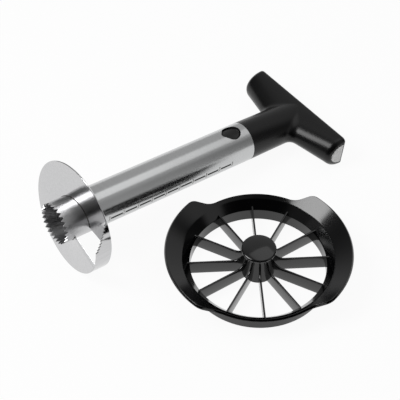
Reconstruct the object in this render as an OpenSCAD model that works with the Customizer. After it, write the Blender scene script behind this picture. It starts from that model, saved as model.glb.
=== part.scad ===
// Pineapple slicer lying beside its wedge cutter, both on one table top.
// The slicer is drawn along its own axis (x from the cutting tip to the handle, z up) and then laid down.
// Angles round the slicer's axis start at the top and grow clockwise as seen from the handle.

/* [Tube and core cutter] */
// Outside diameter of the tube
tube_d = 33; // [27:0.5:39]
// Wall of the tube
tube_wall = 0.8; // [0.6:0.1:1.2]
// From the middle of the blade to the back end of the tube
tube_back = 169; // [140:0.5:200]
// From the middle of the blade to the points of the core cutter
core_reach = 16; // [13:0.5:24]
// Wall of the core cutter
core_wall = 0.9; // [0.7:0.1:1.1]
// Length of the core cutter's sleeve inside the tube
sleeve_l = 10; // [6:0.5:16]
// Number of teeth round the core cutter
core_teeth = 26; // [20:1:40]
// Depth of the core cutter's teeth
core_tooth_h = 2.8; // [1.5:0.1:3.5]

/* [Spiral blade] */
// Outside diameter of the blade
blade_d = 90; // [80:0.5:100]
// Thickness of the blade's sheet
blade_t = 1; // [0.8:0.1:1.4]
// Advance in one turn, which is the thickness of a slice
blade_pitch = 13.5; // [10:0.5:16]
// Angle of the leading edge
lead_angle = 254; // [245:1:262]
// Angle left open between the leading and the trailing edge
slot_angle = 11.5; // [8:0.5:16]
// Length of the ground bevel at the leading edge, as an angle
bevel_angle = 5; // [3:0.5:8]
// How far the rim's wall reaches back from the leading edge, as an angle
wall_back = 42; // [30:1:60]
// How far the wall's plain front edge reaches ahead of the leading edge, as an angle
wall_plain = 19; // [12:1:26]
// Further reach of the wall's toothed edge, as an angle
wall_toothed = 29; // [20:1:40]
// Number of teeth on the wall
wall_teeth = 10; // [6:1:14]
// Depth of the wall's teeth
wall_tooth_h = 1.6; // [0.6:0.1:2]

/* [Handle] */
// From the middle of the blade to the handle's flat back
bar_back = 235.5; // [220:0.5:260]
// Length of the cross bar over its end caps
bar_len = 111; // [95:1:125]
// Height of the cross bar
bar_h = 28; // [25:0.5:30]
// Depth of the cross bar at its middle
bar_mid_d = 31.5; // [26:0.5:36]
// Depth of the cross bar at its ends
bar_end_d = 18.5; // [16:0.5:22]
// Length over which the bar's ends are rounded off
end_round = 4.5; // [3:0.25:6]
// Radius of the bar's back edges
bar_round = 3; // [2:0.25:4]
// Half width of the neck just before the bar
neck_w = 17.5; // [16.75:0.25:20]
// Radius of the corner between the neck and the bar
neck_fillet = 9; // [6:0.5:12]
// Length of an end cap in its pocket
cap_l = 6; // [4:0.5:8]
// How far an end cap stands out of the bar's end
cap_proud = 0.4; // [0.2:0.1:1]
// Width of the bar's rim round an end cap
cap_rim = 1.2; // [1:0.1:1.6]

/* [Plug and release button] */
// Length of the plug inside the tube
plug_l = 41; // [36:0.5:50]
// Wall of the plug
plug_wall = 2.4; // [2:0.1:3]
// Radius of the plug's tail in the neck
tail_r = 12; // [10:0.25:13]
// Length of the plug's tail in the neck
tail_l = 22; // [16:0.5:28]
// Thickness of the lid on the plug's front end
lid_t = 2; // [1.5:0.1:3]
// Distance of the button's centre from the tube's back end
button_inset = 13.8; // [13.4:0.1:16]
// Width of the button
button_w = 15.2; // [13:0.1:16]
// Reach of the button's point from its centre
button_point = 9.2; // [8.6:0.1:10.5]
// Outward travel of the button from released to locked
button_travel = 2; // [1.6:0.1:2.1]
// Width of the button's lip, which keeps it in the plug
lip_w = 1.2; // [0.9:0.1:1.4]
// Thickness of the button's lip
lip_t = 1.4; // [1:0.1:2]
// Wire of the button's spring
wire_d = 0.8; // [0.6:0.1:1]
// Outside radius of the spring
spring_r = 3.8; // [3.4:0.1:4.2]
// Turns of the spring
spring_turns = 6; // [4:1:8]
// Shank radius of the plug's screw
screw_r = 2; // [1.5:0.1:2.5]
// Length of the screw's shank past the plug's tail
screw_bite = 10; // [6:0.5:14]

/* [Wedge cutter] */
// Inside radius of the ring at the table
ring_r = 53; // [48:0.5:58]
// Wall of the ring
ring_wall = 2.4; // [2:0.1:3]
// Height of the ring's upright wall
ring_h = 11; // [9:0.2:13]
// Run of the ring's flare outwards, up to the crease under its rim
flare_run = 6; // [4.5:0.25:7.5]
// Height of the crease
crease_h = 18.5; // [17:0.25:20]
// Height of the ring's rim between the wings
rim_h = 22.2; // [21:0.2:24]
// How far the rim leans outwards above the crease
rim_lean = 1.1; // [0.6:0.1:1.6]
// Thickness of the rim at its top
rim_t = 1.2; // [1:0.1:1.6]
// Slope of the grip wings
wing_slope = 34; // [28:0.5:40]
// Reach of the wings past the crease
wing_run = 12.2; // [9:0.2:14]
// Half of the angle that a wing spans at its edge
wing_half = 47.5; // [40:0.5:52]
// Further angle that a wing's ends take to run down to the rim
wing_runout = 10; // [6:0.5:14]
// How far from a wing's corner its rounding starts
wing_corner = 4; // [2:0.25:6]
// Thickness of a wedge blade
wedge_t = 1.5; // [1.2:0.1:2]
// Height of a wedge blade's straight back
wedge_h = 13.5; // [11:0.5:15]
// Height of the bevel along a wedge blade's cutting edge
wedge_bevel = 3; // [2:0.25:5]
// Height of the cutting edges above the table
wedge_lift = 0.5; // [0.3:0.1:1]
// Depth of the slots that hold the blades in the ring
ring_slot = 1.2; // [0.8:0.1:1.5]
// Radius of the hub at the table
hub_base_r = 13; // [11.5:0.25:14]
// Radius of the hub under its cap
hub_top_r = 10.5; // [10:0.25:12]
// Height of the hub's top
hub_h = 24.8; // [22:0.2:28]
// Radius of the core that the blades reach in the hub
hub_core_r = 9.2; // [8.5:0.1:9.6]
// Radius of the hub's cap
hub_cap_r = 13.5; // [12:0.1:15]
// Height of the cap's edge
hub_cap_h = 2.4; // [1.8:0.1:3.5]
// Further rise of the cap's dome
hub_dome = 2.2; // [1.5:0.1:4]
// Radius of the cap's stem
hub_stem_r = 5; // [4:0.1:6]
// Length of the cap's stem
hub_stem_l = 14; // [8:0.5:18]
// Radius where the blades start to rise towards the hub
gusset_r = 21; // [18:0.5:28]
// Turn of the wedge cutter on the table
wedge_turn = -34.3; // [-60:0.1:0]
// Place of the wedge cutter along the slicer
wedge_x = 102.9; // [80:0.1:140]
// Place of the wedge cutter beside the slicer
wedge_y = -101; // [-140:0.1:-97]

/* [Hidden] */
// Clearances: welded or pressed seats, plastic seats, the plug in the tube and the button in its holes
seat_gap = 0.05;
slot_gap = 0.08;
plug_gap = 0.3;
button_gap = 0.3;
wedge_count = 12;
function wedge_name(i) = str("wedge_blade_", i < 10 ? "0" : "", i);
$fn = 96;
past = 1;
// The wall round the blade's rim stands this much outside the plate's edge
wall_proud = 0.15;

tube_r = tube_d / 2;
tube_in_r = tube_r - tube_wall;
blade_r = blade_d / 2 - wall_proud;
// The core cutter meets the tube just behind the blade
tube_front = blade_pitch / 2 + blade_t / 2 + 0.5;
// The bar's body ends under the end caps' faces and is rounded off from here
bar_half = bar_len / 2 - cap_proud;
bar_full = bar_half - end_round;
plug_r = tube_in_r - plug_gap;
plug_front = tube_back - plug_l;
plug_in_r = plug_r - plug_wall;
button_x = tube_back - button_inset;
button_top_r = plug_r - 0.1;
lip_half = button_w / 2 + lip_w;
// The plug's floor starts just behind the button's lip
plug_floor_x = button_x + lip_half + 0.5;
plug_floor = tube_back - plug_floor_x;
// Highest place of the button's lip that still lets the button travel out to its lock
lip_top = sqrt(plug_in_r * plug_in_r - lip_half * lip_half) - button_travel - 0.15;
lip_low = lip_top - lip_t;
spring_foot = -plug_in_r + 2.6;
spring_post_r = spring_r - wire_d - 0.4;
spring_post_h = 4;

// The slicer rests on its blade's rim and on the round lower back edge of the cross bar
rim_rest_x = -blade_pitch / 2 + blade_pitch * (lead_angle - 180) / 360 + blade_t / 2;
rest_run = bar_back - bar_round - rim_rest_x;
rest_drop = blade_r - bar_h / 2 + bar_round;
lie_tilt = atan2(rest_drop, rest_run) - asin(bar_round / norm([rest_run, rest_drop]));
lie_h = rim_rest_x * sin(lie_tilt) + blade_r * cos(lie_tilt);

// Ring profile: an upright wall and a slanted flare up to a crease,
// where the steeper rim starts between the wings and the flatter wings start elsewhere
flare_way = [flare_run, crease_h - ring_h];
flare_dir = flare_way / norm(flare_way);
flare_lean = flare_run / (crease_h - ring_h);
flare_normal = [flare_dir[1], -flare_dir[0]];
// Height where the upright wall's outside meets the flare's
flare_low = ring_h + ring_wall * (flare_normal[1] + (1 - flare_normal[0]) / flare_lean);
crease_r = ring_r + flare_run;
rim_r = crease_r + rim_lean;
rim_out = rim_r + rim_t;
wing_in = [crease_r + wing_run, crease_h + wing_run * tan(wing_slope)];
wing_under = wing_in + ring_wall * [sin(wing_slope), -cos(wing_slope)];
// Foot of the rim and of the wings, just inside the flare's end, as a depth below its inner face
function flare_foot(deep) = [crease_r, crease_h] - 0.3 * flare_dir + deep * flare_normal;
// Outer end of a wedge blade, which follows the flare above the upright wall
function blade_end(grow) = [[ring_r + ring_slot + grow, ring_h],
    [ring_r + ring_slot + grow + (wedge_h + grow - ring_h) * flare_lean, wedge_h + grow]];

// Middle of the whole set on the table, which is the origin
wing_out = wing_under[0];
wing_tip = polar(wing_out, wing_half);
wing_notch = polar(rim_out + ring_wall / 2, wing_half + wing_runout);
// Round corner of a wing's plan, from its edge to its straight end
function corner_at(t) = let (
    start = polar(wing_out, wing_half - wing_corner / wing_out * 180 / PI),
    stop = wing_tip + wing_corner * (wing_notch - wing_tip) / norm(wing_notch - wing_tip))
    (1 - t) * (1 - t) * start + 2 * t * (1 - t) * wing_tip + t * t * stop;
wing_dip = wing_half - wedge_turn > 90 ? wing_out
    : max([for (i = [0:6]) corner_at(i / 6) * [-sin(wedge_turn), cos(wedge_turn)]]);
set_low = [-core_reach * cos(lie_tilt) - tube_r * sin(lie_tilt), wedge_y - wing_dip];
set_high = [(bar_back - bar_round) * cos(lie_tilt) + (bar_h / 2 - bar_round) * sin(lie_tilt) + bar_round,
    bar_len / 2];
set_mid = (set_low + set_high) / 2;

module laid() translate([-set_mid[0], -set_mid[1], lie_h]) rotate([0, lie_tilt, 0]) children();
module along(x) translate([x, 0, 0]) rotate([0, 90, 0]) rotate(35) children();
module beside() translate([wedge_x - set_mid[0], wedge_y - set_mid[1], 0]) rotate(wedge_turn) children();
function polar(r, a) = r * [cos(a), sin(a)];

// Solid through rings of points that follow each other, all with the same number of points.
// The rings run clockwise as seen along the way from one to the next, and a closed way has no ends.
module loft(rings, closed = false) {
    m = len(rings[0]);
    n = len(rings);
    sides = [for (i = [0:closed ? n - 1 : n - 2], j = [0:m - 1])
        let (a = i * m + j, b = i * m + (j + 1) % m, c = (i + 1) % n * m + (j + 1) % m, d = (i + 1) % n * m + j)
        each [[a, b, c], [a, c, d]]];
    first_end = [for (j = [m - 1:-1:0]) j];
    last_end = [for (j = [0:m - 1]) (n - 1) * m + j];
    faces = closed ? sides : concat([first_end], sides, [last_end]);
    polyhedron([for (r = rings) each r], faces, convexity = 8);
}

// Outline of the button seen from above: a round end towards the handle and a blunt point towards the tip
module button_outline(grow = 0) {
    r = button_w / 2 + grow;
    tip = button_point + grow;
    blunt = 0.16 * r;
    side = acos(r / (tip + 0.4 * r));
    polygon(concat([for (i = [0:32]) polar(r, -180 + side + 2 * (180 - side) * i / 32)],
        [[-tip, blunt], [-tip, -blunt]]));
}

module tube() color("silver") laid() difference() {
    along(0) rotate_extrude() translate([tube_in_r, tube_front]) square([tube_wall, tube_back - tube_front]);
    translate([button_x, 0, tube_in_r - 8]) linear_extrude(8 + tube_wall + past) button_outline(button_gap);
}

// Section of the core cutter at an angle, with its mouth moved back by the notch between two teeth
function core_ring(angle, notch) = let (
    mouth_r = tube_r - core_wall,
    mouth = notch - core_reach,
    sleeve_r = tube_in_r - seat_gap,
    sleeve_in_r = sleeve_r - core_wall,
    sleeve_end = tube_front + sleeve_l)
    [for (p = [[mouth, mouth_r], [tube_front - blade_pitch / 2, mouth_r], [tube_front, sleeve_in_r],
        [sleeve_end, sleeve_in_r], [sleeve_end, sleeve_r], [tube_front, sleeve_r], [tube_front, tube_r],
        [mouth, tube_r]]) round_axis(p[0], p[1], angle)];

module core_cutter() color("gainsboro") laid() {
    tooth = 360 / core_teeth;
    // Three sections a tooth: the two corners of its tip and the notch after it
    loft([for (i = [0:core_teeth - 1]) each [core_ring((i - 0.06) * tooth, 0), core_ring((i + 0.06) * tooth, 0),
        core_ring((i + 0.5) * tooth, core_tooth_h)]], closed = true);
}

// Place on the blade's helix at an angle behind the leading edge, as a distance along the axis
function helix_x(back) = -blade_pitch / 2 + blade_pitch * back / 360;
function round_axis(x, r, a) = [x, r * sin(a), r * cos(a)];
// Sheet section at an angle behind the leading edge, thinned towards the edge by the bevel
function plate_ring(back) = let (
    t = blade_t * min(1, 0.3 + 0.7 * back / bevel_angle),
    rear = helix_x(back) + blade_t / 2,
    a = lead_angle - back)
    [round_axis(rear - t, tube_r + seat_gap, a), round_axis(rear - t, blade_r, a),
     round_axis(rear, blade_r, a), round_axis(rear, tube_r + seat_gap, a)];
// Front edge of the rim's wall ahead of the leading edge: plain along the helix, then toothed
function wall_front(ahead) = let (
    start = helix_x(-wall_plain),
    stop = helix_x(360 - wall_plain - wall_toothed) - wall_tooth_h)
    ahead <= wall_plain ? helix_x(-ahead)
        : start + (stop - start) * (ahead - wall_plain) / wall_toothed;
function wall_ring(ahead, tooth) = let (
    low = wall_front(ahead) + tooth,
    fade = min(1, 0.2 + (ahead + wall_back) / (wall_back / 2)),
    high = low + (helix_x(360 - ahead) - low) * fade,
    a = lead_angle + ahead)
    [round_axis(low, blade_r - blade_t + wall_proud, a), round_axis(high, blade_r - blade_t + wall_proud, a),
     round_axis(high, blade_r + wall_proud, a), round_axis(low, blade_r + wall_proud, a)];

module spiral_blade() color("lightgray") laid() {
    turn = 360 - slot_angle;
    steps = 116;
    bevel_steps = 3;
    tooth_step = wall_toothed / (2 * wall_teeth);
    loft(concat([for (i = [0:bevel_steps - 1]) plate_ring(i * bevel_angle / bevel_steps)],
        [for (i = [0:steps]) plate_ring(bevel_angle + i * (turn - bevel_angle) / steps)]));
    loft(concat([for (i = [0:14]) wall_ring(-wall_back + i * (wall_back + wall_plain) / 15, 0)],
        [for (i = [0:2 * wall_teeth]) wall_ring(wall_plain + i * tooth_step, i % 2 * wall_tooth_h)]));
}

// Section of the cross bar: a flat back with round edges and a half-oval front.
// An end's rounding insets it half as far at the front and back, and a rim's width insets it all round.
function bar_section(depth, inset = 0, rim = 0, n = 20) = let (
    r = max(bar_round - inset - rim, 0.5),
    h = bar_h / 2 - inset - rim,
    run = inset / 2 + rim,
    x = bar_back - run - r,
    front = depth - 2 * run - r)
    concat([for (i = [0:n]) [x - front * sin(180 * i / n), h * cos(180 * i / n)]],
        [for (i = [1:4]) [x + r * sin(90 * i / 4), -(h - r) - r * cos(90 * i / 4)]],
        [for (i = [0:3]) [x + r * cos(90 * i / 4), (h - r) + r * sin(90 * i / 4)]]);
function bar_depth(y) = bar_mid_d + (bar_end_d - bar_mid_d) * abs(y) / bar_full;
// Stations along half of the bar, each as a distance from its middle and an inset of its section
end_turn = 80;
end_steps = 4;
end_inset = end_round * (1 - cos(end_turn)) / sin(end_turn);
bar_stations = [for (i = [0:end_steps]) let (t = end_turn * i / end_steps)
    [bar_full + end_round * sin(t) / sin(end_turn), end_round * (1 - cos(t)) / sin(end_turn)]];
module bar_slice(low, high, rim)
    translate([0, (low + high) / 2, 0]) rotate([90, 0, 0]) linear_extrude(abs(high - low), center = true)
        polygon(bar_section(bar_depth(bar_half), end_inset, rim));

module handle_grip() color("#202124") laid() difference() {
    neck_points = 64;
    // The neck's crest runs out at the bar's upper back edge
    neck_end = bar_back - 0.75 * bar_round;
    neck_h = bar_h / 2 - 0.1 * bar_round;
    // The neck widens evenly up to the fillet, then along the fillet's arc into the bar
    fillet_x = bar_back - bar_mid_d;
    fillet_turn = 70;
    stations = concat([[tube_back, tube_r]], [for (i = [0:5]) let (t = fillet_turn * i / 5)
        [fillet_x + neck_fillet * sin(t), neck_w + neck_fillet * (1 - cos(t))]],
        [[neck_end, neck_w + neck_fillet / 2]]);
    neck_fall = (neck_h - tube_r) / (neck_end - tube_back);
    union() {
        loft([for (s = concat([for (k = [end_steps:-1:0]) [-bar_stations[k][0], bar_stations[k][1]]], [[0, 0]],
            bar_stations)) [for (p = bar_section(bar_depth(s[0]), s[1])) [p[0], s[0], p[1]]]]);
        loft([for (s = stations) let (h = tube_r + neck_fall * (s[0] - tube_back))
            [for (j = [0:neck_points - 1]) let (a = 360 * (j + 0.4) / neck_points)
                [s[0], s[1] * sin(a), h * cos(a)]]]);
    }
    along(tube_back - past) cylinder(r = tail_r + seat_gap, h = tail_l + past + seat_gap);
    along(tube_back) cylinder(r = screw_r + seat_gap, h = tail_l + screw_bite + past);
    for (side = [-1, 1])
        bar_slice(side * (bar_half - cap_l - slot_gap), side * (bar_half + past), cap_rim - slot_gap);
}

module end_cap(side) color("lightgray") laid()
    bar_slice(side * (bar_half - cap_l), side * bar_len / 2, cap_rim);

module handle_plug() color("#303236") laid() {
    hole_r = screw_r + seat_gap;
    difference() {
        along(0) rotate_extrude() polygon([[hole_r, plug_floor_x], [plug_in_r, plug_floor_x],
            [plug_in_r, plug_front], [plug_r, plug_front], [plug_r, tube_back], [tail_r, tube_back],
            [tail_r, tube_back + tail_l], [hole_r, tube_back + tail_l]]);
        translate([button_x, 0, plug_in_r - 7]) linear_extrude(7 + plug_wall + past) button_outline(button_gap);
    }
    // Flat seat and guide post of the button's spring
    translate([button_x, 0, -plug_in_r - 0.6]) cylinder(r = spring_r + 0.8, h = plug_in_r + 0.6 + spring_foot);
    translate([button_x, 0, -plug_in_r])
        cylinder(r = spring_post_r, h = plug_in_r + spring_foot + spring_post_h);
}

module plug_lid() color("#303236") laid() {
    along(plug_front - lid_t) cylinder(r = plug_r, h = lid_t);
    along(plug_front - seat_gap) difference() {
        cylinder(r = plug_in_r - seat_gap, h = 3 * lid_t);
        translate([0, 0, lid_t]) cylinder(r = plug_in_r - plug_wall, h = 3 * lid_t);
    }
}

module plug_screw() color("slategray") laid() {
    head_r = 2 * screw_r;
    head_h = 1.4 * screw_r;
    difference() {
        union() {
            along(plug_floor_x - head_h) cylinder(r = head_r, h = head_h);
            along(plug_floor_x - past) cylinder(r = screw_r, h = plug_floor + tail_l + screw_bite + past);
        }
        along(plug_floor_x - head_h - past) for (a = [0, 90]) rotate(a)
            translate([-head_r * 0.6, -0.5, 0]) cube([head_r * 1.2, 1, past + head_h * 0.6]);
    }
}

module release_button() color("#18191b") laid() translate([button_x, 0, 0]) {
    intersection() {
        translate([0, 0, lip_top - seat_gap]) linear_extrude(tube_r) button_outline();
        along(-tube_d) cylinder(r = button_top_r, h = 2 * tube_d);
    }
    translate([0, 0, lip_low]) linear_extrude(lip_t) button_outline(lip_w);
    translate([0, 0, lip_low - spring_post_h]) cylinder(r = spring_post_r, h = spring_post_h + seat_gap);
}

// Coil from its foot on the plug to the button's lip, with its last half turns lying flat
module button_spring() color("silver") laid() translate([button_x, 0, 0]) {
    ring_steps = 12;
    sides = 6;
    w = wire_d / 2;
    r = spring_r - w;
    low = spring_foot + w + seat_gap;
    high = lip_low - w - seat_gap;
    count = spring_turns * ring_steps;
    flat = 0.5 / spring_turns;
    echo(str("least gap between turns of the spring: ", (high - low) / (spring_turns - 1) - wire_d, " mm"));
    loft([for (i = [0:count]) let (
        u = i / count,
        z = low + (high - low) * min(1, max(0, (u - flat) / (1 - 2 * flat))),
        a = 360 * i / ring_steps)
        [for (j = [0:sides - 1]) let (b = 360 * j / sides, q = r + w * cos(b))
            [q * cos(a), q * sin(a), z + w * sin(b)]]]);
}

// Slots for the blades at equal turns round the hub
module wedge_slots(low_r, high_r, height) for (i = [1:wedge_count]) rotate(i * 360 / wedge_count)
    translate([low_r, -wedge_t / 2 - slot_gap, -past])
        cube([high_r - low_r, wedge_t + 2 * slot_gap, height + past]);

// Plan of one wing: its corners are round and its straight ends run in to the rim
module wing_plan() {
    spread = wing_half - wing_corner / wing_out * 180 / PI;
    front = [for (i = [-12:12]) polar(wing_out + past, spread * i / 12)];
    half = concat([for (i = [0:6]) corner_at(i / 6)], [wing_notch]);
    polygon(concat(front, half, [[0, 0]], [for (i = [len(half) - 1:-1:0]) [half[i][0], -half[i][1]]]));
}

module wedge_ring() color("#111214") beside() difference() {
    // The rim's ends stand a little way into the wings' ends
    rim_end = wing_half + wing_runout - 1.5;
    union() {
        rotate_extrude($fn = 180) polygon([[ring_r, 0], [ring_r, ring_h], [crease_r, crease_h],
            [crease_r, crease_h] + ring_wall * flare_normal, [ring_r + ring_wall, flare_low],
            [ring_r + ring_wall, 0]]);
        difference() {
            rotate_extrude($fn = 180) polygon([flare_foot(0.03), [rim_r, rim_h], [rim_out, rim_h],
                flare_foot(ring_wall - 0.03)]);
            for (side = [0, 180]) rotate(side) linear_extrude(2 * rim_h)
                polygon([[0, 0], polar(2 * ring_r, -rim_end), [3 * ring_r, 0], polar(2 * ring_r, rim_end)]);
        }
        for (side = [0, 180]) rotate(side) intersection() {
            rotate_extrude($fn = 180) polygon([flare_foot(0.03), wing_in, wing_under,
                flare_foot(ring_wall - 0.03)]);
            translate([0, 0, ring_h]) linear_extrude(wing_in[1]) wing_plan();
        }
    }
    for (i = [1:wedge_count]) rotate(i * 360 / wedge_count) rotate([90, 0, 0])
        linear_extrude(wedge_t + 2 * slot_gap, center = true) polygon(concat([[ring_r - past, -past],
            [ring_r + ring_slot + slot_gap, -past]], blade_end(slot_gap), [[ring_r - past, wedge_h + slot_gap]]));
}

module wedge_hub() color("#111214") beside() difference() {
    translate([0, 0, wedge_lift]) cylinder(r1 = hub_base_r, r2 = hub_top_r, h = hub_h - wedge_lift);
    translate([0, 0, hub_h - hub_stem_l - slot_gap]) cylinder(r = hub_stem_r + seat_gap, h = hub_stem_l + past);
    wedge_slots(hub_core_r - slot_gap, hub_base_r + past, hub_h + past);
}

module hub_cap() color("#111214") beside() {
    edge = 1;
    dome_r = (hub_cap_r * hub_cap_r + hub_dome * hub_dome) / (2 * hub_dome);
    translate([0, 0, hub_h - hub_stem_l]) cylinder(r = hub_stem_r, h = hub_stem_l + past);
    rotate_extrude() polygon(concat([[0, hub_h], [hub_cap_r - edge, hub_h]],
        [for (a = [15:15:90]) [hub_cap_r - edge + edge * sin(a), hub_h + edge - edge * cos(a)]],
        [for (i = [0:12]) let (r = hub_cap_r * (1 - i / 12))
            [r, hub_h + hub_cap_h + hub_dome - dome_r + sqrt(dome_r * dome_r - r * r)]]));
}

module wedge_blade(i) color("#1a1b1d") beside() rotate(i * 360 / wedge_count) intersection() {
    rise = [for (k = [1:8]) let (a = 90 * k / 8)
        [gusset_r - (gusset_r - hub_top_r - 0.5) * sin(a), hub_h - (hub_h - wedge_h) * cos(a)]];
    rotate([90, 0, 0]) linear_extrude(wedge_t, center = true) polygon(concat(
        [[hub_core_r, wedge_lift], [ring_r + ring_slot, wedge_lift]], blade_end(0), [[gusset_r, wedge_h]],
        rise, [[hub_core_r, hub_h]]));
    rotate([90, 0, 90]) linear_extrude(2 * ring_r) polygon([[-0.15, wedge_lift], [0.15, wedge_lift],
        [wedge_t / 2, wedge_lift + wedge_bevel], [wedge_t / 2, hub_h + past],
        [-wedge_t / 2, hub_h + past], [-wedge_t / 2, wedge_lift + wedge_bevel]]);
}

tube();
core_cutter();
spiral_blade();
handle_grip();
end_cap(1);  // end_cap_left
end_cap(-1);  // end_cap_right
handle_plug();
plug_lid();
plug_screw();
release_button();
button_spring();
wedge_ring();
wedge_hub();
hub_cap();
for (i = [1:wedge_count]) wedge_blade(i);
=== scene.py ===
import math

import bmesh
import bpy
import numpy as np
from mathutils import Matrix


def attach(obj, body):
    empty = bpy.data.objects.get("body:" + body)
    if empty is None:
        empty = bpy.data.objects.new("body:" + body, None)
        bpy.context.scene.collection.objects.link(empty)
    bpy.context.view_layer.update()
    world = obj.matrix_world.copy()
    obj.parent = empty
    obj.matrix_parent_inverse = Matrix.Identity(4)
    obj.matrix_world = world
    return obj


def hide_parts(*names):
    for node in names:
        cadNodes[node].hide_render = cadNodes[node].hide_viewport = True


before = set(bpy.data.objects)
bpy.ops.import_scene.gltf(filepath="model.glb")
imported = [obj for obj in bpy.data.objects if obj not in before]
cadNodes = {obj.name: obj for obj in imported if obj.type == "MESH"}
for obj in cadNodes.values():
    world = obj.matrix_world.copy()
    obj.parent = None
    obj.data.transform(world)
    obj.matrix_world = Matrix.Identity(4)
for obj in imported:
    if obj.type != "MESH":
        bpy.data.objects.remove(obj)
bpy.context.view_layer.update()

# sizes of the pieces are in millimetres, as in the solids, and angles in degrees
lay = {"tilt": 7.4421907, "height": 44.0220838, "shiftX": 108.4819118, "shiftY": -58.3807580}
beside = {"turn": -34.3, "x": 102.9, "y": -101.0}
mmPerM = 1000
tiny = 1e-9


def cosSin(degrees):
    return math.cos(math.radians(degrees)), math.sin(math.radians(degrees))


def layDown(p):
    # slicer's own axes (x tip to handle, z up) tipped by the tilt about y, then moved on the table, mm to m
    c, s = cosSin(lay["tilt"])
    x, y, z = p[..., 0], p[..., 1], p[..., 2]
    return np.stack([x * c + z * s - lay["shiftX"], y - lay["shiftY"], z * c - x * s + lay["height"]], -1) / mmPerM


def standBeside(p):
    # wedge cutter's own axes turned about z and moved to its place beside the slicer, mm to m
    c, s = cosSin(beside["turn"])
    x, y, z = p[..., 0], p[..., 1], p[..., 2]
    placeX, placeY = x * c - y * s + beside["x"], x * s + y * c + beside["y"]
    return np.stack([placeX - lay["shiftX"], placeY - lay["shiftY"], z], -1) / mmPerM


def roundAxis(x, r, angle):
    # point at radius r and an angle from the top, clockwise as seen from the handle, x along the axis
    a = np.radians(angle)
    return np.stack(np.broadcast_arrays(x, r * np.sin(a), r * np.cos(a)), -1)


def polar(r, degrees):
    return r * np.array(cosSin(degrees))


def hexColour(text):
    # sRGB hex to linear, channel by channel
    c = np.array([int(text[i:i + 2], 16) for i in (1, 3, 5)]) / 255
    lin = np.where(c <= 0.04045, c / 12.92, ((c + 0.055) / 1.055) ** 2.4)
    return (*map(float, lin), 1.0)


def addNode(tree, kind, inputs=None, **settings):
    node = tree.nodes.new(kind)
    for key, value in settings.items():
        setattr(node, key, value)
    for key, value in (inputs or {}).items():
        if isinstance(value, bpy.types.NodeSocket):
            tree.links.new(value, node.inputs[key])
        else:
            node.inputs[key].default_value = value
    return node


def newMaterial(name):
    mat = bpy.data.materials.new(name)
    mat.use_nodes = True
    tree = mat.node_tree
    tree.nodes.clear()
    out = addNode(tree, "ShaderNodeOutputMaterial")
    shader = addNode(tree, "ShaderNodeBsdfPrincipled")
    tree.links.new(shader.outputs[0], out.inputs[0])
    return mat, tree, shader


steelLook = {"cloudMm": 35, "cloudDetail": 2.0, "detail": 3.0, "grit": 0.6, "spread": (0.1, 0.4), "bump": 0.25}
plasticLook = {"cloudMm": 28, "cloudDetail": 2.0, "detail": 4.0, "grit": 0.55, "spread": (0.3, 0.7), "bump": 0.3}


def noise(tree, vector, scale, detail, grit=0.5):
    return addNode(tree, "ShaderNodeTexNoise", {"Vector": vector, "Scale": scale, "Detail": detail, "Roughness": grit})


def finishSurface(tree, shader, look, tint, rough, depthMm, shadeBy, roughBy, bumpBy):
    # colour between two tints, roughness between two values and a fine bump, each led by its own pattern
    shade = addNode(tree, "ShaderNodeMixRGB", {"Fac": shadeBy.outputs[0],
        "Color1": hexColour(tint[0]), "Color2": hexColour(tint[1])})
    dull = addNode(tree, "ShaderNodeMapRange", {"Value": roughBy.outputs[0], "From Min": look["spread"][0],
        "From Max": look["spread"][1], "To Min": rough[0], "To Max": rough[1]})
    bump = addNode(tree, "ShaderNodeBump", {"Height": bumpBy.outputs[0], "Strength": look["bump"],
        "Distance": depthMm / mmPerM})
    for name, node in (("Base Color", shade), ("Roughness", dull), ("Normal", bump)):
        tree.links.new(node.outputs[0], shader.inputs[name])


def brushedSteel(name, tint, rough, streakMm, depthMm, smear=0.0):
    # stainless steel rubbed in one direction: streaks fine one way and long the other, and highlights smeared
    # along the tube; streak width is drawn about three times coarser than the real grit so that it shows
    mat, tree, shader = newMaterial(name)
    coord = addNode(tree, "ShaderNodeTexCoord").outputs["Object"]
    alongScale, acrossScale = mmPerM / streakMm[0], mmPerM / streakMm[1]
    turn = addNode(tree, "ShaderNodeMapping", {"Vector": coord, "Rotation": (0, math.radians(-lay["tilt"]), 0),
        "Scale": (alongScale, acrossScale, acrossScale)})
    streak = noise(tree, turn.outputs[0], 1.0, steelLook["detail"], steelLook["grit"])
    cloud = noise(tree, coord, mmPerM / steelLook["cloudMm"], steelLook["cloudDetail"])
    both = addNode(tree, "ShaderNodeMath", {0: streak.outputs[0], 1: cloud.outputs[0]}, operation="MULTIPLY")
    finishSurface(tree, shader, steelLook, tint, rough, depthMm, streak, both, streak)
    c, s = cosSin(lay["tilt"])
    axis = addNode(tree, "ShaderNodeCombineXYZ", {0: c, 2: -s})
    tree.links.new(axis.outputs[0], shader.inputs["Tangent"])
    shader.inputs["Anisotropic"].default_value = smear
    shader.inputs["Metallic"].default_value = 1.0
    return mat


def mouldedPlastic(name, tint, rough, grainMm, depthMm, ior):
    # injection moulded plastic: an even colour with faint flow clouds, and the tool's spark texture as a fine bump
    mat, tree, shader = newMaterial(name)
    coord = addNode(tree, "ShaderNodeTexCoord").outputs["Object"]
    grain = noise(tree, coord, mmPerM / grainMm, plasticLook["detail"], plasticLook["grit"])
    cloud = noise(tree, coord, mmPerM / plasticLook["cloudMm"], plasticLook["cloudDetail"])
    finishSurface(tree, shader, plasticLook, tint, rough, depthMm, cloud, cloud, grain)
    shader.inputs["IOR"].default_value = ior
    return mat


# tube: rubbed round and round, so that its long highlight and its black band have soft edges
tubeSteel = brushedSteel("brushedStainlessSteel", ("#bcbdbe", "#cacbcb"), (0.21, 0.27), (0.9, 60), 0.008, 0.6)
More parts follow.
